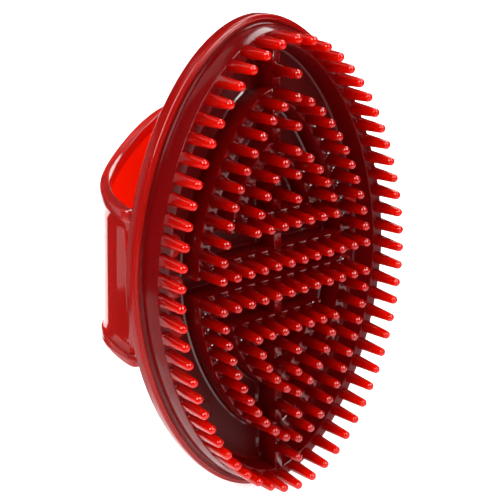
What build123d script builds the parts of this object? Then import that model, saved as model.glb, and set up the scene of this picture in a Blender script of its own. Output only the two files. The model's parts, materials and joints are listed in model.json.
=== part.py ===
"""Oval rubber curry brush with a hand strap.

The brush stands upright on its lower end: +Z runs along its long axis, the teeth point to -Y and the hand strap
is on the +Y side. The origin is on the ground, under the middle of the bounding box. Lengths are millimetres.

The shapes are drawn on a flat sketch with x across the brush and y along its long axis, measured from the middle
of the oval, and then stood up by stand(). In that sketch frame, height is measured from the flat back of the plate:
positive towards the teeth, negative towards the strap.
"""

from build123d import *
import math
import os

# Oval line that the outer ring of teeth stands on
RING_LENGTH = 153.0
RING_WIDTH = 92.0
RING_FULLNESS = 1.82      # 2 is an ellipse, less is more pointed
RING_TEETH = 60

# Back plate, its rim and the outer wall, as offsets outwards from the ring line
PLATE_THICKNESS = 3.8
PLATE_OFFSET = 3.4        # edge of the plate, where the rim takes over
RIM_OFFSET = 6.0
RIM_THICKNESS = 5.6
RIM_ROUNDING = 1.2
WALL_HEIGHT = 8.6         # above the floor of the plate
WALL_TOP_OUT = 1.65       # the outer teeth are flat on this side, flush with the wall
WALL_TOP_IN = 2.5
WALL_DRAFT = 0.6          # extra on the inner side at the floor

# Teeth
TOOTH_LENGTH = 11.6
TOOTH_ROOT_RADIUS = 2.1
TOOTH_TIP_RADIUS = 1.65

# D-shaped ribs: a straight row near the middle and an arch towards the end of the brush
RIB_THICKNESS = 4.2
OUTER_ROW_OFFSET = 5.1    # straight row, from the middle of the brush
OUTER_ROW_TEETH = 12
OUTER_ROW_PITCH = 5.5
OUTER_ARCH_RISE = 53.4
OUTER_ARCH_STEPS = 22
OUTER_ARCH_FULLNESS = 1.6
INNER_ROW_OFFSET = 17.9
INNER_ROW_TEETH = 7
INNER_ROW_PITCH = 5.5
INNER_ARCH_RISE = 23.6
INNER_ARCH_STEPS = 10
INNER_ARCH_FULLNESS = 1.45

# Rib along the long axis, with its four teeth each way from the middle
SPINE_THICKNESS = 3.2
SPINE_TEETH = (26.0, 33.8, 49.4, 65.8)

# Hand strap: two flat ends held by studs, and a loop between them
STRAP_THICKNESS = 2.6
STRAP_SPAN = 97.2         # outside, across the two risers
STRAP_RISE = 44.5         # outside, behind the back of the plate
STRAP_SQUARENESS = 2.6    # 2 is a half ellipse, more has tighter corners
STRAP_END_WIDTH = 52.8
STRAP_PALM_WIDTH = 90.0   # over the hand, where the strap flares
STRAP_LEAN = 5.0          # degrees that the loop leans up at rest
BEAD_WIDTH = 4.2
BEAD_PROUD = 1.2
END_PAD_LENGTH = 17.5
END_PAD_WIDTH = 50.0
END_STUB_HEIGHT = 5.0     # fixed foot of each riser
ROCK_ANGLE = 8.0          # the loop rocks this far each way from upright
ROCK_CLEARANCE = 0.3

# Studs of the strap, pushed through the plate
STUD_COUNT = 3
STUD_PITCH = 13.8
STUD_SPAN = 74.6          # between the two rows
STUD_NECK_RADIUS = 2.3
STUD_CLEARANCE = 0.2
STUD_HEAD_RADIUS = 4.2
STUD_HEAD_HEIGHT = 2.6

HALF_LENGTH = RING_LENGTH / 2 + RIM_OFFSET
TOOTH_DEPTH = PLATE_THICKNESS + WALL_HEIGHT + TOOTH_LENGTH
PIVOT_DEPTH = END_STUB_HEIGHT + ROCK_CLEARANCE
LEAN = math.radians(STRAP_LEAN)
STRAP_REACH = (STRAP_RISE + BEAD_PROUD - PIVOT_DEPTH) * math.cos(LEAN) + STRAP_PALM_WIDTH / 2 * math.sin(LEAN)
BACK_Y = (TOOTH_DEPTH - PIVOT_DEPTH - STRAP_REACH) / 2
CURVE_SAMPLES = 4000


def stand(shape):
    """Stand a shape up: sketch x stays x, sketch y becomes up and height points to -Y."""
    return Pos(0, BACK_Y, HALF_LENGTH) * Plane.XZ.location * shape


def power_point(half_width, half_length, fullness, angle, offset=0.0):
    """A point of |x/w|^n + |y/l|^n = 1, and the same point moved outwards along its normal."""
    s, c = math.sin(angle), math.cos(angle)
    x = math.copysign(half_width * abs(s) ** (2 / fullness), s)
    y = math.copysign(half_length * abs(c) ** (2 / fullness), c)
    nx = math.copysign(abs(x / half_width) ** (fullness - 1) / half_width, x)
    ny = math.copysign(abs(y / half_length) ** (fullness - 1) / half_length, y)
    size = math.hypot(nx, ny)
    return x + offset * nx / size, y + offset * ny / size


def even_steps(half_width, half_length, fullness, start, end, steps, offset=0.0):
    """steps + 1 points, equally spaced along the un-offset curve from one angle to another."""
    angles = [start + (end - start) * i / CURVE_SAMPLES for i in range(CURVE_SAMPLES + 1)]
    line = [power_point(half_width, half_length, fullness, a) for a in angles]
    run = [0.0]
    for p, q in zip(line, line[1:]):
        run.append(run[-1] + math.dist(p, q))
    chosen = []
    at = 0
    for k in range(steps + 1):
        target = run[-1] * k / steps
        while at < CURVE_SAMPLES and run[at] < target:
            at += 1
        chosen.append(power_point(half_width, half_length, fullness, angles[at], offset))
    return chosen


def ring_points(offset=0.0):
    """The places of the outer ring of teeth, or the same places moved outwards."""
    return even_steps(RING_WIDTH / 2, RING_LENGTH / 2, RING_FULLNESS, 0, 2 * math.pi, RING_TEETH, offset)[:-1]


def oval(offset):
    """Flat oval face whose edge is offset from the ring line."""
    return make_face(Spline(ring_points(offset), periodic=True))


def back_plate():
    plate = extrude(oval(PLATE_OFFSET), PLATE_THICKNESS)
    for x, y in stud_places(-1) + stud_places(1):
        plate -= Pos(x, y) * Cylinder(STUD_NECK_RADIUS + STUD_CLEARANCE, 3 * PLATE_THICKNESS)
    return plate


def rim_bead():
    """Rounded band round the edge of the plate."""
    band = extrude(oval(RIM_OFFSET), RIM_THICKNESS)
    band = fillet(band.edges(), RIM_ROUNDING)
    return band - extrude(oval(PLATE_OFFSET), RIM_THICKNESS)


def outer_wall():
    """Drafted wall on the floor of the plate, just inside the rim."""
    floor = PLATE_THICKNESS
    top = PLATE_THICKNESS + WALL_HEIGHT
    outside = loft([Pos(0, 0, floor) * oval(PLATE_OFFSET), Pos(0, 0, top) * oval(WALL_TOP_OUT)], ruled=True)
    inner_floor = Pos(0, 0, floor) * oval(-WALL_TOP_IN - WALL_DRAFT)
    inner_top = Pos(0, 0, top) * oval(-WALL_TOP_IN)
    return outside - loft([inner_floor, inner_top], ruled=True)


class Arch:
    """One D-shaped rib: a straight row with an arch over it, drawn for the upper half."""

    def __init__(self, row, teeth, pitch, rise, steps, fullness):
        self.row = row
        self.half_width = (teeth - 1) * pitch / 2
        self.teeth = teeth
        self.pitch = pitch
        self.rise = rise
        self.steps = steps
        self.fullness = fullness

    def arch_points(self, offset=0.0):
        """From the right corner over the top to the left corner."""
        line = even_steps(self.half_width, self.rise, self.fullness, math.pi / 2, -math.pi / 2, self.steps, offset)
        return [(x, self.row + y) for x, y in line]

    def dome(self, offset):
        """Face under the arch, moved outwards or inwards on every side."""
        points = self.arch_points(offset)
        face = make_face([Spline(points), Line(points[-1], points[0])])
        strip = Pos(0, self.row) * Rectangle(4 * self.half_width, 2 * abs(offset))
        if offset < 0:
            return face - strip
        foot = Pos(0, self.row - offset / 2) * Rectangle(2 * (self.half_width + offset), offset)
        return face + foot

    def solid(self):
        half = RIB_THICKNESS / 2
        face = self.dome(half) - self.dome(-half)
        return Pos(0, 0, PLATE_THICKNESS) * extrude(face, WALL_HEIGHT)

    def filled(self):
        half = RIB_THICKNESS / 2
        return Pos(0, 0, PLATE_THICKNESS) * extrude(self.dome(half), WALL_HEIGHT)

    def tooth_places(self):
        """The straight row with its corners, then the arch between them."""
        row = [(self.pitch * k - self.half_width, self.row) for k in range(self.teeth)]
        return row + self.arch_points()[1:-1]


OUTER_ARCH = Arch(OUTER_ROW_OFFSET, OUTER_ROW_TEETH, OUTER_ROW_PITCH,
                  OUTER_ARCH_RISE, OUTER_ARCH_STEPS, OUTER_ARCH_FULLNESS)
INNER_ARCH = Arch(INNER_ROW_OFFSET, INNER_ROW_TEETH, INNER_ROW_PITCH,
                  INNER_ARCH_RISE, INNER_ARCH_STEPS, INNER_ARCH_FULLNESS)


def lower(shape):
    """The mirrored copy in the lower half of the brush."""
    return mirror(shape, about=Plane.XZ)


def spine_rib():
    """Rib along the long axis, in the stretches that the other ribs and the wall leave free."""
    bar = Pos(0, 0, PLATE_THICKNESS + WALL_HEIGHT / 2) * Box(SPINE_THICKNESS, RING_LENGTH, WALL_HEIGHT)
    half = RIB_THICKNESS / 2
    channel = Box(2 * SPINE_THICKNESS, 2 * (OUTER_ROW_OFFSET + half), 4 * TOOTH_DEPTH)
    bar = bar - channel - outer_wall()
    for arch in (OUTER_ARCH, INNER_ARCH):
        bar = bar - arch.solid() - lower(arch.solid())
    return bar


def tooth():
    """Tapered peg with a round tip, standing on height 0."""
    tip_centre = TOOTH_LENGTH - TOOTH_TIP_RADIUS
    side = Polyline((0, 0), (TOOTH_ROOT_RADIUS, 0), (TOOTH_TIP_RADIUS, tip_centre))
    cap = RadiusArc((TOOTH_TIP_RADIUS, tip_centre), (0, TOOTH_LENGTH), -TOOTH_TIP_RADIUS)
    profile = make_face([*side.edges(), cap, Line((0, TOOTH_LENGTH), (0, 0))])
    return revolve(Plane.XZ * profile, Axis.Z)


def teeth_at(places):
    peg = tooth()
    land = PLATE_THICKNESS + WALL_HEIGHT
    return Compound(children=[Pos(x, y, land) * peg for x, y in places])


def wall_teeth():
    """The outer ring: each tooth is cut flat on the side that faces out, flush with the top of the wall."""
    size = 4 * TOOTH_LENGTH
    peg = tooth() - Pos(WALL_TOP_OUT + size / 2, 0, 0) * Box(size, size, size)
    land = PLATE_THICKNESS + WALL_HEIGHT
    placed = []
    for (x, y), (out_x, out_y) in zip(ring_points(), ring_points(1.0)):
        outward = math.degrees(math.atan2(out_y - y, out_x - x))
        placed.append(Pos(x, y, land) * Rot(0, 0, outward) * peg)
    return Compound(children=placed)


def mirrored_places(places):
    return [(x, -y) for x, y in places]


def stud_places(side):
    first = -STUD_PITCH * (STUD_COUNT - 1) / 2
    return [(side * STUD_SPAN / 2, first + STUD_PITCH * k) for k in range(STUD_COUNT)]


def stud():
    """Neck through the plate and a domed head on its floor."""
    neck = Pos(0, 0, PLATE_THICKNESS / 2) * Cylinder(STUD_NECK_RADIUS, PLATE_THICKNESS)
    head = Pos(0, 0, PLATE_THICKNESS + STUD_HEAD_HEIGHT / 2) * Cylinder(STUD_HEAD_RADIUS, STUD_HEAD_HEIGHT)
    crown = head.edges().sort_by(Axis.Z)[-1]
    return neck + fillet(crown, STUD_HEAD_HEIGHT * 0.6)


def strap_studs(side):
    peg = stud()
    return Compound(children=[Pos(x, y) * peg for x, y in stud_places(side)])


def strap_end(side):
    """Flat foot of the strap on the back of the plate, and the stub of its riser."""
    outer = side * STRAP_SPAN / 2
    pad_x = outer - side * END_PAD_LENGTH / 2
    pad = Pos(pad_x, 0, -STRAP_THICKNESS / 2) * Box(END_PAD_LENGTH, END_PAD_WIDTH, STRAP_THICKNESS)
    stub_x = outer - side * STRAP_THICKNESS / 2
    stub = Pos(stub_x, 0, -END_STUB_HEIGHT / 2) * Box(STRAP_THICKNESS, END_PAD_WIDTH, END_STUB_HEIGHT)
    return pad + stub


def loop_line(grow):
    """Points of the loop across the brush: x across, y is the distance behind the plate."""
    line = even_steps(STRAP_SPAN / 2, STRAP_RISE, STRAP_SQUARENESS, -math.pi / 2, math.pi / 2, 24)
    wide = 1 + 2 * grow / STRAP_SPAN
    high = 1 + grow / STRAP_RISE
    return [(x * wide, -y * high) for x, y in line]


def loop_shell(outwards, inwards):
    """Shell between two loops, upright, with a shallow V cut out so that it can rock on its fixed feet."""
    outer = loop_line(outwards)
    inner = loop_line(-inwards)
    edges = [Spline(outer), Line(outer[-1], inner[-1]), Spline(inner), Line(inner[0], outer[0])]
    shell = extrude(Plane.XZ * make_face(edges), STRAP_PALM_WIDTH, both=True)
    half = STRAP_PALM_WIDTH / 2
    slope = math.tan(math.radians(ROCK_ANGLE + 0.5))
    tip = (0, -PIVOT_DEPTH)
    corners = [(half, -PIVOT_DEPTH - half * slope), (half, 1), (-half, 1), (-half, -PIVOT_DEPTH - half * slope)]
    relief = extrude(Plane.YZ * make_face(Polyline(tip, *corners, close=True)), STRAP_SPAN, both=True)
    return shell - relief


def palm_outline(inset):
    """Outline of the strap seen from behind: it flares smoothly from its ends to the palm."""
    reach = STRAP_SPAN / 2 + 2 * BEAD_PROUD
    flare = (STRAP_PALM_WIDTH - STRAP_END_WIDTH) / 2
    upper = []
    for k in range(25):
        x = reach * (k - 12) / 12
        half_width = STRAP_END_WIDTH / 2 + flare * (1 + math.cos(math.pi * x / reach)) / 2
        upper.append((x, half_width - inset))
    lower_line = [(x, -y) for x, y in upper]
    sides = [Line(upper[-1], lower_line[-1]), Line(lower_line[0], upper[0])]
    return make_face([Spline(upper), Spline(lower_line), *sides])


def palm_prism(inset):
    return extrude(palm_outline(inset), 2 * STRAP_RISE, both=True)


def leaning(shape):
    return Pos(0, 0, -PIVOT_DEPTH) * Rot(STRAP_LEAN, 0, 0) * Pos(0, 0, PIVOT_DEPTH) * shape


def strap_band():
    return leaning(loop_shell(0, STRAP_THICKNESS) & palm_prism(BEAD_WIDTH))


def strap_bead(side):
    """Thicker edge of the strap, the upper one for side 1 and the lower one for side -1."""
    edge = loop_shell(BEAD_PROUD, STRAP_THICKNESS) & (palm_prism(0) - palm_prism(BEAD_WIDTH))
    half_space = Pos(0, side * STRAP_PALM_WIDTH, 0) * Box(4 * STRAP_SPAN, 2 * STRAP_PALM_WIDTH, 6 * STRAP_RISE)
    return leaning(edge & half_space)


def all_nodes():
    upper_outer = OUTER_ARCH.tooth_places()
    upper_inner = INNER_ARCH.tooth_places()
    spine = [(0, y) for y in SPINE_TEETH]
    return {
        "back_plate": back_plate(),
        "rim_bead": rim_bead(),
        "outer_wall": outer_wall(),
        "upper_outer_rib": OUTER_ARCH.solid(),
        "lower_outer_rib": lower(OUTER_ARCH.solid()),
        "upper_inner_rib": INNER_ARCH.solid(),
        "lower_inner_rib": lower(INNER_ARCH.solid()),
        "spine_rib": spine_rib(),
        "outer_wall_teeth": wall_teeth(),
        "upper_outer_teeth": teeth_at(upper_outer),
        "lower_outer_teeth": teeth_at(mirrored_places(upper_outer)),
        "upper_inner_teeth": teeth_at(upper_inner),
        "lower_inner_teeth": teeth_at(mirrored_places(upper_inner)),
        "spine_teeth": teeth_at(spine + mirrored_places(spine)),
        "strap_left_end": strap_end(-1),
        "strap_right_end": strap_end(1),
        "strap_left_studs": strap_studs(-1),
        "strap_right_studs": strap_studs(1),
        "strap_band": strap_band(),
        "strap_upper_bead": strap_bead(1),
        "strap_lower_bead": strap_bead(-1),
    }


os.makedirs("parts", exist_ok=True)
for name, shape in all_nodes().items():
    export_step(stand(shape), f"parts/{name}.step")
    print(name, "written")
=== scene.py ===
# %% [markdown]
# # Rubber curry brush
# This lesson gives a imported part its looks. The part is an oval brush of clear red rubber: a plate
# with a rim, a wall and ribs full of tapered teeth, and a wide strap for the hand. The plate and
# the strap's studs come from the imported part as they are, and only get a material. Every other
# piece is built here, where the part says.

import json
import math

import bpy
from mathutils import Matrix, Vector

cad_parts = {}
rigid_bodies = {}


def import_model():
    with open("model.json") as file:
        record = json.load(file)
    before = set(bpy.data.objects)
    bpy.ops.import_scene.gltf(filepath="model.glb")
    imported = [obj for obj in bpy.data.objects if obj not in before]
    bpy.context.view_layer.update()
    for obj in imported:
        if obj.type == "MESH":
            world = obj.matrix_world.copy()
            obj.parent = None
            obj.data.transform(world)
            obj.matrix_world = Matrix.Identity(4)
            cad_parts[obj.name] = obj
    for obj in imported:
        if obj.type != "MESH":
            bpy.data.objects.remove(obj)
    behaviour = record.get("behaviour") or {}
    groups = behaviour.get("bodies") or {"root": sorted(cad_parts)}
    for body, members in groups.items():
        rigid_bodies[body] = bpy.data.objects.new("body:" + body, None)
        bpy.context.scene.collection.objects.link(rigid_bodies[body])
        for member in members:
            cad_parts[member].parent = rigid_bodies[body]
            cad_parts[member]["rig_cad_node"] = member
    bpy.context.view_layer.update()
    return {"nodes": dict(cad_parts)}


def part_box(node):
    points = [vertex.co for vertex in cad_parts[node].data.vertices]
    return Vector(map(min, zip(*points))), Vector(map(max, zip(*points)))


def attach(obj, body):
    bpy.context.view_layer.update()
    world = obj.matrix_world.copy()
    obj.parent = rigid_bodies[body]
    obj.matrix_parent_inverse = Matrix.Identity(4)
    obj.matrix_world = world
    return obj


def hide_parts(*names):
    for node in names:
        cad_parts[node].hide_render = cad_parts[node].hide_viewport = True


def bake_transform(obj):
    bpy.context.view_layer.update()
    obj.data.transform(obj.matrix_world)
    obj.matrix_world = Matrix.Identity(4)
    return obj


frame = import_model()
print("loaded", len(frame["nodes"]), "nodes")

# %% [markdown]
# The brush stands on the end of its oval. Every height below is counted from the flat back of the
# plate, towards the teeth, so one function turns an across, an up and a height into a point. All
# sizes are in millimetres until that function makes them metres.

# %% The planes of the part
MM = 0.001
rim_low, rim_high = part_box("rim_bead")
BACK_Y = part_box("back_plate")[1].y
CENTRE_Z = (rim_low.z + rim_high.z) / 2
FLOOR = (BACK_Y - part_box("back_plate")[0].y) / MM  # the front of the plate, between the ribs
LAND = (BACK_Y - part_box("outer_wall")[0].y) / MM  # the top of the wall and ribs, where teeth stand
TIP = (BACK_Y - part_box("outer_wall_teeth")[0].y) / MM
RIM_HEIGHT = (BACK_Y - rim_low.y) / MM


def place(across, up, height):
    return Vector((across * MM, BACK_Y - height * MM, CENTRE_Z + up * MM))


print("floor", round(FLOOR, 2), "land", round(LAND, 2), "tip", round(TIP, 2))

# %% [markdown]
# The oval is a power curve: an ellipse whose power is a little under 2, so that its ends are
# slightly pointed. The arches of the ribs are the same kind of curve. A curve object could draw it,
# but teeth stand the same distance apart all round it, so the curve is worked out here and walked
# in equal steps.

# %% Curves walked in equal steps
RIM_OUT = 6.0  # the rim's outer edge, outside the ring of teeth
RING_ACROSS = (rim_high.x - rim_low.x) / 2 / MM - RIM_OUT
RING_UP = (rim_high.z - rim_low.z) / 2 / MM - RIM_OUT
RING_POWER = 1.82


def power_point(across, up, power, angle):
    """The point of a power curve at an angle, counted from the top."""
    s, c = math.sin(angle), math.cos(angle)
    x = math.copysign(across * abs(s) ** (2 / power), s)
    z = math.copysign(up * abs(c) ** (2 / power), c)
    return x, z


def even_steps(across, up, power, start, end, steps, samples=4000):
    """Points the same distance apart along a power curve, from one angle to another."""
    angles = [start + (end - start) * i / samples for i in range(samples + 1)]
    fine = [power_point(across, up, power, angle) for angle in angles]
    run = [0.0]
    for p, q in zip(fine, fine[1:]):
        run.append(run[-1] + math.dist(p, q))
    chosen, at = [], 0
    for k in range(steps + 1):
        wanted = run[-1] * k / steps
        while at < samples - 1 and run[at + 1] < wanted:
            at += 1
        part = (wanted - run[at]) / (run[at + 1] - run[at])
        (x, z), (x2, z2) = fine[at], fine[at + 1]
        chosen.append((x + (x2 - x) * part, z + (z2 - z) * part))
    return chosen


def ring_line(steps):
    """The line under the outer ring of teeth, as a closed loop of stations."""
    return even_steps(RING_ACROSS, RING_UP, RING_POWER, 0, 2 * math.pi, steps)[:-1]


print("ring", round(RING_ACROSS, 1), "by", round(RING_UP, 1))

# %% [markdown]
# Rims, walls and ribs are all the same idea: one cross-section carried along a line. Where the line
# turns, each station needs its own sideways direction, as the corner of a picture frame has its
# mitre.

# %% Mitres
SHARPEST_MITRE = 0.6  # below this cosine a corner gets no longer


def mitres(line, closed):
    """The sideways direction at each station, longer at corners to keep the width the same."""
    out = []
    count = len(line)
    for i, (x, z) in enumerate(line):
        before = line[i - 1] if closed or i > 0 else None
        after = line[(i + 1) % count] if closed or i < count - 1 else None
        sides = []
        for a, b in ((before, (x, z)), ((x, z), after)):
            if a is not None and b is not None:
                run = math.dist(a, b)
                sides.append(Vector((a[1] - b[1], b[0] - a[0])) / run)
        middle = sum(sides, Vector((0, 0))).normalized()
        out.append(middle / max(middle.dot(sides[0]), SHARPEST_MITRE))
    return out


square_corner = mitres([(0, 0), (1, 0), (1, 1)], False)[1]
print("the mitre of a square corner is", round(square_corner.length, 2), "long")

# %% [markdown]
# A grid is a fast start for such a shape, because it already has the right rows and columns. Each
# column goes to one station of the line and each row to one point of the section. The last column
# and row fall on the first ones, and merging the doubles closes the shape. A curve with a bevel
# object could carry the section too, but it pinches at corners.

# %% Carry a section along a line
MERGE_WITHIN = 0.00002  # metres, as Blender's own tools count
NO_AREA = 0.00001


def clear_selection():
    if bpy.context.object and bpy.context.object.mode != "OBJECT":
        bpy.ops.object.mode_set(mode="OBJECT")
    bpy.ops.object.select_all(action="DESELECT")


def finish_mesh(piece, angle=30):
    """Merge doubles, point the faces outwards and shade the soft edges smoothly."""
    clear_selection()
    bpy.context.view_layer.objects.active = piece
    piece.select_set(True)
    bpy.ops.object.mode_set(mode="EDIT")
    bpy.ops.mesh.select_all(action="SELECT")
    bpy.ops.mesh.remove_doubles(threshold=MERGE_WITHIN)
    bpy.ops.mesh.dissolve_degenerate(threshold=NO_AREA)
    bpy.ops.mesh.normals_make_consistent(inside=False)
    bpy.ops.object.mode_set(mode="OBJECT")
    bpy.ops.object.shade_smooth_by_angle(angle=math.radians(angle))
    return piece


def wrapped_grid(name, columns, rows, at):
    """A grid of columns by rows points, each moved to at(column, row)."""
    clear_selection()
    bpy.ops.mesh.primitive_grid_add(x_subdivisions=columns - 1, y_subdivisions=rows - 1, size=1)
    piece = bpy.context.object
    piece.name = name
    for i, vertex in enumerate(piece.data.vertices):
        vertex.co = at(i % columns, i // columns)
    piece.data.update()
    return piece


def carried(name, line, section, closed=True, angle=30):
    """Carry a closed section of (sideways, height) points along a line of (across, up) stations."""
    sides = mitres(line, closed)
    count, points = len(line), len(section)

    def at(column, row):
        station = column % count
        sideways, height = section[row % points]
        x, z = line[station]
        return place(x + sides[station].x * sideways, z + sides[station].y * sideways, height)

    piece = wrapped_grid(name, count + 1 if closed else count, points + 1, at)
    return finish_mesh(piece, angle)


print("points nearer than", MERGE_WITHIN / MM, "mm are merged")

# %% [markdown]
# Moulded rubber has no sharp edges, so every corner of a section is a short curve. Three points are
# enough to draw one: where it starts, the corner that it is pulled towards, and where it ends.

# %% Rounded corners
EDGE_STEPS = 3  # enough for the smallest edges


def rounded(corner, towards, away, radius, steps=4):
    """Points of a quarter turn about a corner, from one side to the other."""
    start = Vector(corner) + Vector(towards) * radius
    end = Vector(corner) + Vector(away) * radius
    points = []
    for k in range(steps + 1):
        t = k / steps
        mid = start * (1 - t) ** 2 + Vector(corner) * 2 * t * (1 - t) + end * t**2
        points.append((mid.x, mid.y))
    return points


small_corner = rounded((0, 0), (-1, 0), (0, 1), 1.0)
print("a corner of 1 mm:", [(round(x, 2), round(y, 2)) for x, y in small_corner])

# %% [markdown]
# The rim is a soft bead round the plate. Its side is nearly flat, and both of its edges are rounded
# over about a millimetre. A fine ridge follows it on the front. A bevel on a plain disc would give
# the edges but not the ridge, so the rim is a section of its own, and these edges together draw the
# long highlights round the brush.

# %% Rim
RING_STATIONS = 240
RIM_IN = 2.6
RIM_BACK_RADIUS = 1.5
RIM_FRONT_RADIUS = 1.1
RIM_SLOPE = 0.1  # the front is this much lower at its outer edge
RIM_FACE = RIM_HEIGHT - 0.06
RIDGE = 0.16
RIDGE_MIDDLE = 4.475
RIDGE_FOOT_HALF = 0.305
RIDGE_TOP_HALF = 0.125
RIM_SHADE_ANGLE = 50

ring = ring_line(RING_STATIONS)
ridge = [
    (RIDGE_MIDDLE + RIDGE_FOOT_HALF, RIM_FACE),
    (RIDGE_MIDDLE + RIDGE_TOP_HALF, RIM_HEIGHT + RIDGE),
    (RIDGE_MIDDLE - RIDGE_TOP_HALF, RIM_HEIGHT + RIDGE),
    (RIDGE_MIDDLE - RIDGE_FOOT_HALF, RIM_FACE),
]
rim_section = (
    [(RIM_IN, 0.0)]
    + rounded((RIM_OUT, 0.0), (-1, 0), (0, 1), RIM_BACK_RADIUS)
    + rounded((RIM_OUT, RIM_HEIGHT - RIM_SLOPE), (0, -1), (-1, 0), RIM_FRONT_RADIUS)
    + ridge
    + [(RIM_IN, RIM_FACE)]
)
rim = carried("rim", ring, rim_section, angle=RIM_SHADE_ANGLE)
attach(rim, "brush")
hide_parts("rim_bead")
print("rim", len(rim.data.polygons), "faces")

# %% [markdown]
# The wall stands inside the rim. Its outer side leans in by about 12 degrees, so that the moulding
# leaves its tool, and it meets the rim and the floor in small fillets. The land on top carries the
# outer ring of teeth. A fillet is written as steps out from the wall and up from what it stands on,
# because a Bevel modifier would round the land and the feet by the same amount.

# %% Wall
WALL_FOOT = 3.4  # the outer face where it would meet the floor, outside the ring of teeth
WALL_LAND_OUT = 1.65
WALL_LAND_IN = -2.5
WALL_INNER_FOOT = -3.1
WALL_OUTER_EDGE = 0.3
WALL_INNER_EDGE = 0.45
CROWN = 0.35
WALL_RIM_FILLET = ((0.9, -0.4), (0.9, 0.02), (0.35, 0.14), (0.02, 0.55))
WALL_FACE_HEIGHTS = (1.2, 3.0, 4.8, 6.6)  # above the rim
WALL_FLOOR_FILLET = ((0.1, 1.5), (-0.08, 0.8), (-0.35, 0.3), (-1.0, 0.02), (-1.0, -0.3))
DOWN_THE_OUTSIDE = (0.28, -0.96)
DOWN_THE_INSIDE = (-0.06, -0.99)


def wall_outside(height):
    """The outer face without its bow, outside the ring of teeth."""
    return WALL_FOOT + (WALL_LAND_OUT - WALL_FOOT) * (height - FLOOR) / (LAND - FLOOR)


def crowned(height):
    """The outer face bows out a little, so that a reflection fades before it reaches the teeth."""
    t = (height - RIM_HEIGHT) / (LAND - RIM_HEIGHT)
    return wall_outside(height) + 4 * CROWN * t * (1 - t)


wall_section = (
    [(wall_outside(RIM_HEIGHT) + out, RIM_HEIGHT + up) for out, up in WALL_RIM_FILLET]
    + [(crowned(RIM_HEIGHT + up), RIM_HEIGHT + up) for up in WALL_FACE_HEIGHTS]
    + rounded((WALL_LAND_OUT, LAND), DOWN_THE_OUTSIDE, (-1, 0), WALL_OUTER_EDGE, EDGE_STEPS)
    + rounded((WALL_LAND_IN, LAND), (1, 0), DOWN_THE_INSIDE, WALL_INNER_EDGE, EDGE_STEPS)
    + [(WALL_INNER_FOOT + out, FLOOR + up) for out, up in WALL_FLOOR_FILLET]
)
wall = carried("wall", ring, wall_section)
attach(wall, "brush")
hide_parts("outer_wall")
print("wall", len(wall.data.polygons), "faces")

# %% [markdown]
# Ribs are the same all along and alike on both sides, so one half of the section is written and
# mirrored. Their feet spread into the floor, and the edges of the land are rounded.

# %% Section of a rib
RIB_HALF = 2.1
RIB_EDGE = 0.45
RIB_FILLET = ((0.9, -0.3), (0.9, 0.02), (0.3, 0.25), (0.05, 0.8), (0.0, 1.4))


def bar_section(half, fillet, edge):
    """A bar on the floor of the plate: fillets at both feet and rounded edges on its land."""
    side = [(half + out, FLOOR + up) for out, up in fillet]
    side += rounded((half, LAND), (0, -1), (-1, 0), edge, EDGE_STEPS)
    return side + [(-x, height) for x, height in reversed(side)]


rib_section = bar_section(RIB_HALF, RIB_FILLET, RIB_EDGE)
print("rib section", len(rib_section), "points")

# %% [markdown]
# Each D-shaped rib is a straight row and an arch, and a tooth stands at every step along it. The
# stations beside its two corners are left out, because the inner side of the section would fold
# over itself there.

# %% D-shaped ribs
ROW_PITCH = 5.5
# row: from the middle to the straight row. teeth: along the row. rise, steps, power: of the arch.
OUTER = {"row": 5.1, "teeth": 12, "rise": 53.4, "steps": 22, "power": 1.6}
INNER = {"row": 17.9, "teeth": 7, "rise": 23.6, "steps": 10, "power": 1.45}


def row_points(shape, parts=1):
    """The straight row: one point a tooth, or parts of them between two teeth."""
    steps = (shape["teeth"] - 1) * parts
    half = (shape["teeth"] - 1) * ROW_PITCH / 2
    return [(-half + 2 * half * k / steps, shape["row"]) for k in range(steps + 1)]


def arch_points(shape, parts=1):
    """The arch over the row, from its right end back to its left end."""
    half = (shape["teeth"] - 1) * ROW_PITCH / 2
    steps = shape["steps"] * parts
    line = even_steps(half, shape["rise"], shape["power"], math.pi / 2, -math.pi / 2, steps)
    return [(x, shape["row"] + z) for x, z in line]


def rib_line(shape, side):
    row = row_points(shape, 2)
    arch = arch_points(shape, 2)
    line = [row[0]] + row[2:-2] + [row[-1]] + arch[2:-2]
    return [(x, side * z) for x, z in line]


for name, shape in (("outer_rib", OUTER), ("inner_rib", INNER)):
    for half, side in (("upper", 1), ("lower", -1)):
        rib = carried(f"{half}_{name}_soft", rib_line(shape, side), rib_section)
        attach(rib, "brush")
        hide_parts(f"{half}_{name}")
        print(rib.name, len(rib.data.polygons), "faces")

# %% [markdown]
# A piece that is made of copies, such as a row of bars or teeth, becomes one object in the end. A
# bar that is carried along an open line also needs its two ends closed.

# %% Join and close


def joined(name, parts):
    """Join copies into one piece."""
    clear_selection()
    for part in parts:
        part.select_set(True)
    bpy.context.view_layer.objects.active = parts[0]
    if len(parts) > 1:
        bpy.ops.object.join()
    parts[0].name = name
    return parts[0]


def capped(piece):
    """Close the two open ends of a bar."""
    clear_selection()
    bpy.context.view_layer.objects.active = piece
    piece.select_set(True)
    bpy.ops.object.mode_set(mode="EDIT")
    bpy.ops.mesh.select_all(action="DESELECT")
    bpy.ops.mesh.select_mode(type="VERT")
    bpy.ops.mesh.select_non_manifold()
    bpy.ops.mesh.fill_holes(sides=0)
    bpy.ops.mesh.select_all(action="SELECT")
    bpy.ops.mesh.normals_make_consistent(inside=False)
    bpy.ops.object.mode_set(mode="OBJECT")
    return piece


# %% [markdown]
# A narrow rib runs along the middle between the wall and the D-shaped ribs. It could be one long
# bar, but it would then fill the ribs that it crosses. Each stretch is a bar of its own that runs a
# little way into its neighbours, as one moulding does.

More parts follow.
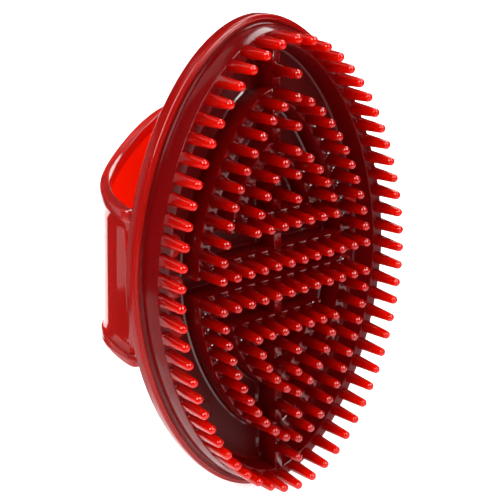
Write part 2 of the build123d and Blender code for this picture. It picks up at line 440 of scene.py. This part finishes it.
# %% Spine
SPINE_HALF = 1.6
SPINE_EDGE = 0.4
SPINE_FILLET = ((2.0, -0.3), (2.0, 0.02), (0.9, 0.3), (0.35, 1.0), (0.15, 2.2))
RUN_IN = 0.8

spine_section = bar_section(SPINE_HALF, SPINE_FILLET, SPINE_EDGE)
apex_outer = OUTER["row"] + OUTER["rise"]
apex_inner = INNER["row"] + INNER["rise"]
stretches = (
    (OUTER["row"] + RIB_HALF, INNER["row"] - RIB_HALF),
    (INNER["row"] + RIB_HALF, apex_inner - RIB_HALF),
    (apex_inner + RIB_HALF, apex_outer - RIB_HALF),
    (apex_outer + RIB_HALF, RING_UP + WALL_LAND_IN),
)
bars = []
for low, high in stretches:
    for side in (1, -1):
        stations = (low - RUN_IN, (low + high) / 2, high + RUN_IN)
        line = [(0, side * z) for z in stations]
        bars.append(capped(carried("bar", line, spine_section, closed=False)))
spine = joined("spine", bars)
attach(spine, "brush")
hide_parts("spine_rib")
print("spine", len(spine.data.polygons), "faces")

# %% [markdown]
# Where the mould's pins push the finished brush out, they leave shallow rings on the floor of the
# plate. A bump in the material would do from afar, but a low bead catches the light as the real
# ring does.

# %% Pin marks
PIN_ACROSS, PIN_UP, PIN_RADIUS = 25.2, 47.5, 3.3
PIN_STATIONS = 40
MARK_SIDE = ((0.35, -0.2), (0.25, 0.12))  # out from the bead's middle, up from the floor
MARK_TOP = 0.24
MARK_SHADE_ANGLE = 60

mark_section = [(-out, FLOOR + up) for out, up in MARK_SIDE]
mark_section += [(0, FLOOR + MARK_TOP)]
mark_section += [(out, FLOOR + up) for out, up in reversed(MARK_SIDE)]
turns = [2 * math.pi * k / PIN_STATIONS for k in range(PIN_STATIONS)]
marks = []
for across in (-PIN_ACROSS, PIN_ACROSS):
    for up in (-PIN_UP, PIN_UP):
        circle = [(across + PIN_RADIUS * math.sin(t), up + PIN_RADIUS * math.cos(t)) for t in turns]
        marks.append(carried("pin mark", circle, mark_section, angle=MARK_SHADE_ANGLE))
pin_marks = joined("pin_marks", marks)
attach(pin_marks, "brush")
print("pin marks", len(pin_marks.data.polygons), "faces")

# %% [markdown]
# A tooth is a tapered peg with a round tip. Its root flares along the rib but not across it, so the
# gaps between teeth have round bottoms. On the outer ring the side that faces out is flat and flush
# with the wall: the flat is widest at the root and dies out where the tooth has tapered to it. A
# cone with a ball on it could have neither the flare nor the flat, so a tooth is a stack of rings.
# There are 166 teeth, so each has few faces.

# %% Rings of a tooth
ROOT_RADIUS = 2.15
TIP_RADIUS = 1.5
TIP_DOME = 1.3
TOOTH_LENGTH = TIP - LAND
TIP_CENTRE = TOOTH_LENGTH - TIP_DOME
FLARE = ((-0.5, 0.55), (0.04, 0.5), (0.2, 0.2), (0.6, 0.04))  # (height, extra along the rib)
MIDDLE = 0.55 * TIP_CENTRE
DOME_TILTS = (25, 48, 69, 90)


def radius_at(height):
    return ROOT_RADIUS + (TIP_RADIUS - ROOT_RADIUS) * height / TIP_CENTRE


tooth_rings = [(h, radius_at(max(h, 0)), extra) for h, extra in FLARE]
tooth_rings += [(MIDDLE, radius_at(MIDDLE), 0.0), (TIP_CENTRE, TIP_RADIUS, 0.0)]
for tilt in DOME_TILTS:
    rise = TIP_DOME * math.sin(math.radians(tilt))
    tooth_rings.append((TIP_CENTRE + rise, TIP_RADIUS * math.cos(math.radians(tilt)), 0.0))
print("a tooth is", round(TOOTH_LENGTH, 2), "long and has", len(tooth_rings), "rings")

# %% [markdown]
# Each ring is nearly a circle. Two limits cut it: half the width of the rib that the tooth stands
# on, and the flat on the teeth of the outer ring. Four of its points always lie on the side that
# faces out, so that the flat has clean edges.

# %% One tooth
TOOTH_SIDES = 14
FLAT_HALF_ANGLE = 0.45  # radians, the least that the four points of the flat are spread
NO_RADIUS = 0.01


def tooth_section(radius, extra, limit, flat):
    """Points round one ring of a tooth, as (along the rib, across it)."""
    edge = math.acos(min(1, flat / radius)) if radius > NO_RADIUS else 0
    edge = max(edge, FLAT_HALF_ANGLE)
    angles = [-edge, -edge / 3, edge / 3, edge]
    rest = TOOTH_SIDES - len(angles)
    angles += [edge + (2 * math.pi - 2 * edge) * (k + 1) / (rest + 1) for k in range(rest)]
    points = []
    for a in angles:
        along = (radius + extra) * math.sin(a)
        across = max(-limit, min(flat, limit, radius * math.cos(a)))
        points.append((along, across))
    return points


def tooth(position, outward, limit, flat, flare):
    """One tooth: outward is the unit direction across the rib, in across and up."""
    along = Vector((-outward.y, outward.x))

    def at(column, row):
        height, radius, extra = tooth_rings[row]
        t, n = tooth_section(radius, extra * flare, limit, flat)[column % TOOTH_SIDES]
        x = position[0] + along.x * t + outward.x * n
        z = position[1] + along.y * t + outward.y * n
        return place(x, z, LAND + height)

    return wrapped_grid("tooth", TOOTH_SIDES + 1, len(tooth_rings), at)


print("a ring has", len(tooth_section(ROOT_RADIUS, 0, RIB_HALF, WALL_LAND_OUT)), "points")

# %% [markdown]
# The teeth follow the same lines as the ribs under them, and all the teeth of a rib are joined into
# one piece, as the part names them. An array that follows a curve would bend its copies, so each
# tooth is placed with its own direction.

# %% Groups of teeth
RING_TEETH = 60
SPINE_TEETH = (26.0, 33.8, 49.4, 65.8)  # up from the middle of the brush
RING_FLARE = 0.25  # the ring's teeth hardly flare
NO_LIMIT = 2.6  # wider than any root
NO_FLAT = 9.0  # further out than any tooth reaches
TOOTH_SHADE_ANGLE = 36


def tooth_group(name, node, places, limit, flat, flare=1.0):
    teeth = [tooth(position, outward, limit, flat, flare) for position, outward in places]
    group = finish_mesh(joined(name, teeth), TOOTH_SHADE_ANGLE)
    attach(group, "brush")
    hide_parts(node)
    print(name, len(places), "teeth,", len(group.data.polygons), "faces")


def with_sides(line, closed):
    """Each point of a line with its unit direction sideways."""
    return [(p, m.normalized()) for p, m in zip(line, mitres(line, closed))]


ring_places = with_sides(ring_line(RING_TEETH), True)
tooth_group(
    "outer_wall_teeth_soft", "outer_wall_teeth", ring_places, NO_LIMIT, WALL_LAND_OUT, flare=RING_FLARE
)
for name, shape in (("outer", OUTER), ("inner", INNER)):
    for half, side in (("upper", 1), ("lower", -1)):
        line = [(x, side * z) for x, z in row_points(shape) + arch_points(shape)[1:-1]]
        places = with_sides(line, True)
        tooth_group(f"{half}_{name}_teeth_soft", f"{half}_{name}_teeth", places, RIB_HALF, NO_FLAT)
spine_places = [((0, side * z), Vector((1, 0))) for z in SPINE_TEETH for side in (1, -1)]
tooth_group("spine_teeth_soft", "spine_teeth", spine_places, NO_LIMIT, NO_FLAT)

# %% [markdown]
# The strap is one band of rubber. Both ends lie flat on the back of the plate, turn up at the edge
# and become a wide loop for the hand. It could be bent from a flat strip, but its width changes
# along the way, so it is drawn as a path across the brush, with a width and a section worked out at
# each station.

# %% Strap path
STRAP_SPAN = 97.2
STRAP_RISE = 44.5
STRAP_POWER = 2.6
STRAP_THICK = 2.6
MID_SPAN = STRAP_SPAN / 2 - STRAP_THICK / 2
MID_RISE = STRAP_RISE - STRAP_THICK / 2
PAD_INNER = 31.0  # where the flat ends stop, from the middle of the brush
PAD_STEPS = 6
TURN = 2.4  # radius of the turn from a flat end into the loop
TURN_STEPS = 5
LOOP_STEPS = 72


def strap_path():
    """Stations of the middle of the band, left to right, as (across, depth behind the plate)."""
    half_thick = STRAP_THICK / 2
    loop = even_steps(MID_SPAN, MID_RISE, STRAP_POWER, -math.pi / 2, math.pi / 2, LOOP_STEPS)
    loop = [(x, z) for x, z in loop if z > half_thick + TURN]
    turn = rounded((-MID_SPAN, half_thick), (1, 0), (0, 1), TURN, TURN_STEPS)
    flat = MID_SPAN - TURN - PAD_INNER
    pad = [(-PAD_INNER - flat * k / PAD_STEPS, half_thick) for k in range(PAD_STEPS)]
    left = pad + turn
    right = [(-x, z) for x, z in reversed(left)]
    return left + loop + right


path = strap_path()
print("strap path", len(path), "stations")

# %% [markdown]
# The edges of the band are thicker beads that stand out a little, and keep it from tearing. They
# fade out where the band comes down to the plate. The band is wide over the palm and narrow at its
# feet.

# %% Strap section
END_WIDTH = 52.8  # at the feet of the loop
PALM_WIDTH = 90.0
PAD_HALF = 26.2  # half the width of the flat ends
FLARE_POWER = 1.15
BEAD_WIDE = 4.2
BEAD_OUT = 1.2
BEAD_FOOT = ((-0.5, 0.0), (0.1, 0.25))  # sideways from the bead's inner edge, and how far out
BEAD_SHOULDER = 0.3
SHOULDER_RADIUS = 0.7
SHOULDER_STEPS = 2
LEAST_RADIUS = 0.01  # so that no two points of the shoulder fall together
EDGE_RADIUS = 1.0
INNER_EDGE_RADIUS = 0.9
BAND_SHARES = (0.35, 0.7)  # points between the middle and the bead, as shares of the half width
FOOT_DEPTH = 1.3  # behind the plate, where the flat ends begin to change
WIDTH_DEPTH = 2.4
BEAD_DEPTH = 1.9


def smooth_step(value, low, high):
    t = min(max((value - low) / (high - low), 0), 1)
    return t * t * (3 - 2 * t)


def half_width(x, depth):
    """Half the width of the band at a station: the flat end's width, or the loop's behind it."""
    reach = STRAP_SPAN / 2 + 2 * BEAD_OUT
    flare = (0.5 + 0.5 * math.cos(math.pi * x / reach)) ** FLARE_POWER
    wide = END_WIDTH / 2 + (PALM_WIDTH - END_WIDTH) / 2 * flare
    return PAD_HALF + (wide - PAD_HALF) * smooth_step(depth, FOOT_DEPTH, WIDTH_DEPTH)


def band_section(half, bead):
    """Half the section, from the middle outside to the middle inside: (sideways, outwards)."""
    t = STRAP_THICK / 2
    out = t + BEAD_OUT * bead
    start = half - BEAD_WIDE
    shoulder = SHOULDER_RADIUS * bead + LEAST_RADIUS
    steep = (0, -1) if bead > 0.5 else (0, -0.2)
    return (
        [(half * share, t) for share in BAND_SHARES]
        + [(start + step, t + rise * bead) for step, rise in BEAD_FOOT]
        + rounded((start + BEAD_SHOULDER, out), steep, (1, 0), shoulder, SHOULDER_STEPS)
        + rounded((half, out), (-1, 0), (0, -1), EDGE_RADIUS, EDGE_STEPS)
        + rounded((half, -t), (0, 1), (-1, 0), INNER_EDGE_RADIUS, EDGE_STEPS)
        + [(start, -t)]
        + [(half * share, -t) for share in reversed(BAND_SHARES)]
    )


half_rows = len(band_section(PAD_HALF, 1))
section_rows = 2 * half_rows + 2
print("strap section", section_rows, "points")

# %% [markdown]
# The loop leans up a little about the line through its feet. Near the plate the rubber bends
# instead of turning, so the lean grows from nothing at the feet.

# %% Strap
PIVOT_DEPTH = 5.3
LEAN = math.radians(5)
BEND_START = 2.6
BEND_END = 9
OUTSIDE, BEAD, INSIDE = 0, 1, 2  # the order of its three materials
OUTSIDE_ROWS = 5  # from the middle to the bead
BEAD_END_ROW = half_rows - 3  # the narrow row where the bead meets the inside
STRAP_SHADE_ANGLE = 40


def strap_point(column, row):
    x, depth = path[column]
    a = path[max(column - 1, 0)]
    b = path[min(column + 1, len(path) - 1)]
    run = math.dist(a, b)
    out_x, out_d = -(b[1] - a[1]) / run, (b[0] - a[0]) / run
    bead = smooth_step(depth, FOOT_DEPTH, BEAD_DEPTH)
    upper = band_section(half_width(x, depth), bead)
    lower = [(-s, o) for s, o in reversed(upper)]
    section = [(0, STRAP_THICK / 2)] + upper + [(0, -STRAP_THICK / 2)] + lower
    sideways, outwards = section[row % len(section)]
    x, depth = x + out_x * outwards, depth + out_d * outwards
    lean = LEAN * smooth_step(depth, BEND_START, BEND_END)
    up = sideways * math.cos(lean) + (depth - PIVOT_DEPTH) * math.sin(lean)
    back = PIVOT_DEPTH + (depth - PIVOT_DEPTH) * math.cos(lean) - sideways * math.sin(lean)
    return place(x, up, -back)


strap = wrapped_grid("hand_strap", len(path), section_rows + 1, strap_point)
for face in strap.data.polygons:
    row = min(face.vertices) // len(path)
    from_middle = min(row, section_rows - 1 - row)
    if from_middle < OUTSIDE_ROWS or from_middle == BEAD_END_ROW:
        face.material_index = OUTSIDE
    elif from_middle < BEAD_END_ROW:
        face.material_index = BEAD
    else:
        face.material_index = INSIDE
strap = capped(finish_mesh(strap, STRAP_SHADE_ANGLE))
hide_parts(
    "strap_left_end", "strap_right_end", "strap_band", "strap_upper_bead", "strap_lower_bead"
)
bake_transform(strap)
print("strap", len(strap.data.polygons), "faces")

# %% [markdown]
# Clear rubber looks deep red where it is thick and bright where it is thin, because of the
# light that passes through it. Real refraction through 166 teeth would be slow and noisy, so a
# shader node group paints that light and shade into the colour: it mixes a near and a far colour
# by how far a point is from the back of the plate, and each material sets which end is painted in
# shade and which in light. It also adds faint clouding, the fine grain of a polished mould and
# smears in the gloss. Each material places the same group with its own values.

# %% Shared rubber effect
CLOUD_SCALE, CLOUD_DETAIL = 90, 3
CLOUD_DEPTH = 0.12  # how far a cloud moves the mix between the two colours
GRAIN_SCALE, GRAIN_DETAIL = 1400, 2
SMEAR_SCALE = 260
SMEAR_TWIST = 1.2
SMEAR_DEPTH = 0.05  # how much roughness a smear adds
COLOUR_A, COLOUR_B, COLOUR_OUT = 6, 7, 2  # a Mix node's colour sockets


def rubber_group():
    """The group that turns a place on the brush into colour with painted light and shade, roughness
    and grain height.
    """
    group = bpy.data.node_groups.new("Clear rubber", "ShaderNodeTree")
    for name, kind in (
        ("Position", "NodeSocketVector"),
        ("Near Colour", "NodeSocketColor"),
        ("Far Colour", "NodeSocketColor"),
        ("Near At", "NodeSocketFloat"),
        ("Far At", "NodeSocketFloat"),
        ("Gloss", "NodeSocketFloat"),
    ):
        group.interface.new_socket(name=name, in_out="INPUT", socket_type=kind)
    for name, kind in (
        ("Colour", "NodeSocketColor"),
        ("Roughness", "NodeSocketFloat"),
        ("Height", "NodeSocketFloat"),
    ):
        group.interface.new_socket(name=name, in_out="OUTPUT", socket_type=kind)
    nodes, links = group.nodes, group.links
    source = nodes.new("NodeGroupInput")
    result = nodes.new("NodeGroupOutput")
    split = nodes.new("ShaderNodeSeparateXYZ")
    links.new(source.outputs["Position"], split.inputs[0])
    # Painted light and shade: the colour moves from the near colour to the far colour with the height
    # above the plate's back.
    depth = nodes.new("ShaderNodeMapRange")
    depth.interpolation_type = "SMOOTHSTEP"
    links.new(split.outputs["Y"], depth.inputs["Value"])
    links.new(source.outputs["Near At"], depth.inputs["From Min"])
    links.new(source.outputs["Far At"], depth.inputs["From Max"])
    clouds = nodes.new("ShaderNodeTexNoise")
    clouds.inputs["Scale"].default_value = CLOUD_SCALE
    clouds.inputs["Detail"].default_value = CLOUD_DETAIL
    links.new(source.outputs["Position"], clouds.inputs["Vector"])
    cloud_amount = nodes.new("ShaderNodeMapRange")
    cloud_amount.inputs["To Min"].default_value = -CLOUD_DEPTH
    cloud_amount.inputs["To Max"].default_value = CLOUD_DEPTH
    links.new(clouds.outputs["Fac"], cloud_amount.inputs["Value"])
    far_side = nodes.new("ShaderNodeMath")
    far_side.operation = "ADD"
    far_side.use_clamp = True
    links.new(depth.outputs["Result"], far_side.inputs[0])
    links.new(cloud_amount.outputs["Result"], far_side.inputs[1])
    mix = nodes.new("ShaderNodeMix")
    mix.data_type = "RGBA"
    links.new(far_side.outputs[0], mix.inputs["Factor"])
    links.new(source.outputs["Near Colour"], mix.inputs[COLOUR_A])
    links.new(source.outputs["Far Colour"], mix.inputs[COLOUR_B])
    links.new(mix.outputs[COLOUR_OUT], result.inputs["Colour"])
    grain = nodes.new("ShaderNodeTexNoise")
    grain.inputs["Scale"].default_value = GRAIN_SCALE
    grain.inputs["Detail"].default_value = GRAIN_DETAIL
    links.new(source.outputs["Position"], grain.inputs["Vector"])
    links.new(grain.outputs["Fac"], result.inputs["Height"])
    smears = nodes.new("ShaderNodeTexNoise")
    smears.inputs["Scale"].default_value = SMEAR_SCALE
    smears.inputs["Distortion"].default_value = SMEAR_TWIST
    links.new(source.outputs["Position"], smears.inputs["Vector"])
    rough = nodes.new("ShaderNodeMath")
    rough.operation = "MULTIPLY_ADD"
    rough.inputs[1].default_value = SMEAR_DEPTH
    links.new(smears.outputs["Fac"], rough.inputs[0])
    links.new(source.outputs["Gloss"], rough.inputs[2])
    links.new(rough.outputs[0], result.inputs["Roughness"])
    return group


clear_rubber = rubber_group()
print("rubber group", len(clear_rubber.nodes), "nodes")

# %% [markdown]
# The Principled shader in each material does the rest. Light that enters red rubber comes out red
# after a few millimetres, which subsurface scattering gives. A faint glow of the same colour stands
# in for the light that passes right through. The numbers that are the same all over a surface are
# set on the shader itself.

# %% A rubber material
RUBBER_IOR = 1.5
SCATTER_RADIUS = (1.0, 0.06, 0.04)  # red light travels furthest
SCATTER_SCALE = 0.008
COAT_ROUGHNESS = 0.02
GRAIN_STRENGTH = 0.03
GRAIN_HEIGHT = 0.0002


def rubber(
    name, near_side, far_side, near_side_at, far_side_at,
    gloss=0.03, scatter=0.6, coat=0.4, clear=0.0, glow=0.2, specular=0.5,
):
    """A rubber painted with light and shade: its colour goes from one colour to another between two
    heights above the plate's back.
    """
    material = bpy.data.materials.new(name)
    material.use_nodes = True
    nodes, links = material.node_tree.nodes, material.node_tree.links
    shader = nodes["Principled BSDF"]
    coordinates = nodes.new("ShaderNodeTexCoord")
    effect = nodes.new("ShaderNodeGroup")
    effect.node_tree = clear_rubber
    links.new(coordinates.outputs["Object"], effect.inputs["Position"])
    effect.inputs["Near Colour"].default_value = (*near_side, 1)
    effect.inputs["Far Colour"].default_value = (*far_side, 1)
    effect.inputs["Near At"].default_value = BACK_Y - near_side_at * MM
    effect.inputs["Far At"].default_value = BACK_Y - far_side_at * MM
    effect.inputs["Gloss"].default_value = gloss
    links.new(effect.outputs["Colour"], shader.inputs["Base Color"])
    links.new(effect.outputs["Roughness"], shader.inputs["Roughness"])
    height = nodes.new("ShaderNodeBump")
    height.inputs["Strength"].default_value = GRAIN_STRENGTH
    height.inputs["Distance"].default_value = GRAIN_HEIGHT
    links.new(effect.outputs["Height"], height.inputs["Height"])
    links.new(height.outputs["Normal"], shader.inputs["Normal"])
    shader.inputs["Subsurface Weight"].default_value = scatter
    shader.inputs["Subsurface Radius"].default_value = SCATTER_RADIUS
    shader.inputs["Subsurface Scale"].default_value = SCATTER_SCALE
    shader.inputs["Specular IOR Level"].default_value = specular
    shader.inputs["Emission Strength"].default_value = glow
    links.new(effect.outputs["Colour"], shader.inputs["Emission Color"])
    shader.inputs["IOR"].default_value = RUBBER_IOR
    shader.inputs["Transmission Weight"].default_value = clear
    shader.inputs["Coat Weight"].default_value = coat
    shader.inputs["Coat Roughness"].default_value = COAT_ROUGHNESS
    return material


print("each rubber has", GRAIN_HEIGHT / MM, "mm of grain")

# %% [markdown]
# The brush is one rubber, but each part of it is thick or thin, and light and shade fall on it in
# its own way. One material for all of it would be too dark or too bright somewhere, so each part
# gets its own painted light and shade. The plate, the rim and the wall are satin and nearly opaque.
# The teeth are painted from roots dark with shade to tips bright with light, and those of the outer
# ring are painted brightest, because light reaches them from outside.

# %% Materials of the moulded head
# The front of the plate, the floor of the troughs, is painted darker than its back, as shade.
plate_rubber = rubber(
    "plate rubber", (0.2, 0.004, 0.004), (0.06, 0.0006, 0.001), 0.5, 3.6,
    gloss=0.3, coat=0, glow=0.22, specular=0.12,
)
rim_rubber = rubber(
    "rim rubber", (0.2, 0.003, 0.003), (0.23, 0.003, 0.002), 0.0, 5.6,
    gloss=0.13, coat=0, glow=0.12, specular=0.28,
)
wall_rubber = rubber(
    "wall rubber", (0.1, 0.001, 0.0015), (0.12, 0.001, 0.0015), FLOOR, LAND,
    gloss=0.12, coat=0, glow=0.12, specular=0.25,
)
# The ribs and the spine are painted darker at their feet, as shade down in the troughs.
rib_rubber = rubber(
    "rib rubber", (0.06, 0.0002, 0.0004), (0.13, 0.0006, 0.0008), FLOOR, LAND,
    gloss=0.12, glow=0.2,
)
# The teeth are painted dark at their roots, as shade between them, and bright at their tips, as light
# passing through.
tooth_rubber = rubber(
    "tooth rubber", (0.1, 0.0003, 0.0003), (0.26, 0.0014, 0.0002), LAND, TIP,
    gloss=0.0, coat=0.5, glow=0.14,
)
# The outer ring's teeth are a painted lit copy of the tooth rubber, brighter all over, as light
# reaches them from outside.
edge_tooth_rubber = rubber(
    "edge tooth rubber", (0.22, 0.0008, 0.0004), (0.52, 0.004, 0.0003), LAND, TIP,
    gloss=0.0, coat=0.1, clear=0.3, glow=0.16, specular=0.4,
)
head_rubbers = (plate_rubber, rim_rubber, wall_rubber, rib_rubber, tooth_rubber, edge_tooth_rubber)
print("rubbers of the head:", [material.name for material in head_rubbers])

# %% [markdown]
# The strap is thin and light comes through it, so it is painted bright red, most of all on its
# inside, where the light comes through it, and its thick beads, which let less through, are painted
# duller. It is painted darker near the plate, as shade, and brighter out on the loop. Its heights
# are negative, because it lies behind the plate.

# %% Materials of the strap
strap_outside = rubber(
    "strap outside", (0.25, 0.002, 0.001), (0.6, 0.006, 0.003), -6, -42,
    scatter=0.8, glow=0.2,
)
strap_bead = rubber(
    "strap bead", (0.25, 0.008, 0.007), (0.4, 0.016, 0.014), -6, -42,
    scatter=0.8, glow=0.15,
)
# The inside is a painted lit copy of the strap rubber, bright with the light that comes through.
strap_inside = rubber(
    "strap inside", (0.4, 0.004, 0.002), (0.95, 0.014, 0.001), -4, -36,
    scatter=0.8, coat=0.1, glow=0.23,
)
strap_rubbers = (strap_outside, strap_bead, strap_inside)
print("rubbers of the strap:", [material.name for material in strap_rubbers])

# %% [markdown]
# Each piece gets its rubber by its name. The strap already says which of its faces are outside,
# bead and inside, so it gets three rubbers in that order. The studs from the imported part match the
# beads.

# %% Give each piece its rubber


def give(piece, material):
    piece.data.materials.clear()
    piece.data.materials.append(material)


pieces = [o for o in bpy.data.objects if o.type == "MESH"]
for piece in pieces:
    if piece.name == "outer_wall_teeth_soft":
        give(piece, edge_tooth_rubber)
    elif piece.name.endswith("teeth_soft"):
        give(piece, tooth_rubber)
    elif piece.name.endswith("rib_soft") or piece.name == "spine":
        give(piece, rib_rubber)
    elif piece.name == "wall":
        give(piece, wall_rubber)
    elif piece.name == "rim":
        give(piece, rim_rubber)
    elif piece.name == "hand_strap":
        for material in strap_rubbers:
            piece.data.materials.append(material)
    elif "strap" in piece.name:
        give(piece, strap_bead)
    else:
        give(piece, plate_rubber)
print(len(pieces), "pieces have a rubber")

# %% [markdown]
# The camera stands to the left of the teeth and a little above them, and leans by less than a
# degree. It is set out from the middle of the tooth tips, in millimetres. A long lens keeps the
# oval from looking stretched.

# %% Camera
UNDER_TIPS = 1.65  # the camera is set out from a plane this far under the tops of the teeth
EYE_FROM_TIPS = (-230.87, -271.70, 128.60)
AIM_FROM_TIPS = (-18.97, 0, 12.71)
LENS = 83.72
SENSOR = 36
ROLL = -0.82

tips = place(0, 0, TIP - UNDER_TIPS)
eye = tips + Vector(EYE_FROM_TIPS) * MM
aim = tips + Vector(AIM_FROM_TIPS) * MM
camera_data = bpy.data.cameras.new("camera")
camera_data.lens = LENS
camera_data.sensor_width = SENSOR
camera = bpy.data.objects.new("camera", camera_data)
bpy.context.scene.collection.objects.link(camera)
camera.matrix_world = (
    Matrix.Translation(eye)
    @ (aim - eye).to_track_quat("-Z", "Y").to_matrix().to_4x4()
    @ Matrix.Rotation(math.radians(ROLL), 4, "Z")
)
bpy.context.scene.camera = camera
print("the camera is", round((aim - eye).length, 3), "m away")

# %% [markdown]
# The floor is plain and pale. It shines a little by itself, so that it stays white far away, and
# less near the brush, where a soft shadow remains. It is kept out of reflections, because a white
# floor in every gloss would wash out the deep red.

# %% Floor
FLOOR_SIZE = 60
PALE = (0.9, 0.9, 0.9, 1)
WHITE = (1, 1, 1, 1)
FLOOR_ROUGHNESS = 0.7
SHADOW_END, WHITE_START = 0.06, 0.4  # metres from the brush
SHINE_NEAR, SHINE_FAR = 0.7, 1.0

clear_selection()
bpy.ops.mesh.primitive_plane_add(size=FLOOR_SIZE, location=(0, 0, 0))
floor = bpy.context.object
floor.name = "floor"
floor_material = bpy.data.materials.new("pale floor")
floor_material.use_nodes = True
floor_nodes, floor_links = floor_material.node_tree.nodes, floor_material.node_tree.links
floor_shader = floor_nodes["Principled BSDF"]
floor_shader.inputs["Base Color"].default_value = PALE
floor_shader.inputs["Roughness"].default_value = FLOOR_ROUGHNESS
floor_shader.inputs["Emission Color"].default_value = WHITE
floor_place = floor_nodes.new("ShaderNodeTexCoord")
floor_distance = floor_nodes.new("ShaderNodeVectorMath")
floor_distance.operation = "LENGTH"
floor_shine = floor_nodes.new("ShaderNodeMapRange")
floor_shine.inputs["From Min"].default_value = SHADOW_END
floor_shine.inputs["From Max"].default_value = WHITE_START
floor_shine.inputs["To Min"].default_value = SHINE_NEAR
floor_shine.inputs["To Max"].default_value = SHINE_FAR
floor_links.new(floor_place.outputs["Object"], floor_distance.inputs[0])
floor_links.new(floor_distance.outputs["Value"], floor_shine.inputs["Value"])
floor_links.new(floor_shine.outputs["Result"], floor_shader.inputs["Emission Strength"])
floor.visible_glossy = False
floor.data.materials.append(floor_material)
print("floor", FLOOR_SIZE, "m across")

# %% [markdown]
# Glossy rubber shows its lights as clean shapes, so each light here has one job. A shine panel is
# seen only in reflections: three of them put three dots on every tip, and the cards and the
# backdrop draw the long pale reflections on the rim, the wall and the strap. A colour panel is not
# seen in reflections and only lights the rubber itself. One set of lamps could do both, but a
# change to a reflection would then change the colour too.

# %% Panels
SHINE, COLOUR = True, False
PANEL_DISTANCE = 1.3
AIM_HEIGHT = 10  # mm from the back of the plate
FLOOR_GAP = 0.0004  # a card lies just above the floor, in metres
PANELS = (
    # name, direction (camera right, up and back), width, height, power, job
    ("dot left", (-0.5, 0.47, 0.73), 0.6, 0.9, 22, SHINE),
    ("dot right", (0.6, 0.46, 0.66), 0.6, 0.9, 22, SHINE),
    ("dot above", (0.2, 0.97, -0.13), 0.9, 0.9, 18, SHINE),
    ("key left", (-0.52, 0.3, 0.78), 0.5, 0.5, 9, COLOUR),
    ("key right", (0.52, 0.3, 0.78), 0.5, 0.5, 9, COLOUR),
    ("key above", (0.02, 0.8, 0.6), 0.5, 0.5, 11, COLOUR),
    ("back panel", (0.8, 0.3, -0.9), 0.9, 0.9, 18, COLOUR),
    ("top panel", (-0.1, 1.0, -0.3), 0.9, 0.9, 5, COLOUR),
    ("left panel", (-1.0, 0.15, -0.35), 0.8, 0.8, 3, COLOUR),
    ("left card", (-0.93, 0.1, -0.36), 0.45, 0.9, 0.45, SHINE),
    ("top card", (-0.6, 0.8, 0.0), 0.6, 0.6, 0.8, SHINE),
    ("backdrop", (-0.24, 0.16, -0.96), 1.1, 0.7, 3.4, SHINE),
)
FLOOR_CARDS = (
    # name, across and back from the brush in metres, width, depth, power
    ("left floor card", -0.15, -0.01, 0.26, 0.28, 0.18),
    ("right floor card", 0.1, -0.19, 0.4, 0.46, 0.62),
)


def lamp(name, middle, aim_at, wide, tall, power, shine):
    """A panel that is only for reflections, or else only for the colour of the rubber."""
    data = bpy.data.lights.new(name, "AREA")
    data.shape = "RECTANGLE"
    data.size = wide
    data.size_y = tall
    data.energy = power
    item = bpy.data.objects.new(name, data)
    bpy.context.scene.collection.objects.link(item)
    item.location = middle
    item.rotation_euler = (aim_at - middle).to_track_quat("-Z", "Y").to_euler()
    item.visible_camera = False
    item.visible_glossy = shine
    item.visible_diffuse = not shine
    item.visible_transmission = not shine


brush_middle = place(0, 0, AIM_HEIGHT)
right, up, back = (camera.matrix_world.to_3x3().col[i].normalized() for i in range(3))
for name, direction, wide, tall, power, job in PANELS:
    towards = (right * direction[0] + up * direction[1] + back * direction[2]).normalized()
    lamp(name, brush_middle + towards * PANEL_DISTANCE, brush_middle, wide, tall, power, job)
for name, across, behind, wide, near_side, power in FLOOR_CARDS:
    middle = Vector((across, behind, FLOOR_GAP))
    lamp(name, middle, middle + Vector((0, 0, 1)), wide, near_side, power, SHINE)
print(len(PANELS), "panels and", len(FLOOR_CARDS), "floor cards")

# %% [markdown]
# The room is white where it is looked at, directly or through clear rubber. To the shading and the
# reflections it is nearly black, so that they come from the panels alone.

# %% White room
ROOM_SEEN = 1.0
ROOM_LIGHT = 0.03

world = bpy.data.worlds.new("white room")
bpy.context.scene.world = world
world.use_nodes = True
room_nodes, room_links = world.node_tree.nodes, world.node_tree.links
background = room_nodes["Background"]
background.inputs["Color"].default_value = WHITE
seen = room_nodes.new("ShaderNodeLightPath")
either = room_nodes.new("ShaderNodeMath")
either.operation = "MAXIMUM"
bright = room_nodes.new("ShaderNodeMapRange")
bright.inputs["To Min"].default_value = ROOM_LIGHT
bright.inputs["To Max"].default_value = ROOM_SEEN
room_links.new(seen.outputs["Is Camera Ray"], either.inputs[0])
room_links.new(seen.outputs["Is Transmission Ray"], either.inputs[1])
room_links.new(either.outputs[0], bright.inputs["Value"])
room_links.new(bright.outputs["Result"], background.inputs["Strength"])
bpy.context.scene.view_settings.view_transform = "Standard"
print("the room lights the brush at", ROOM_LIGHT)
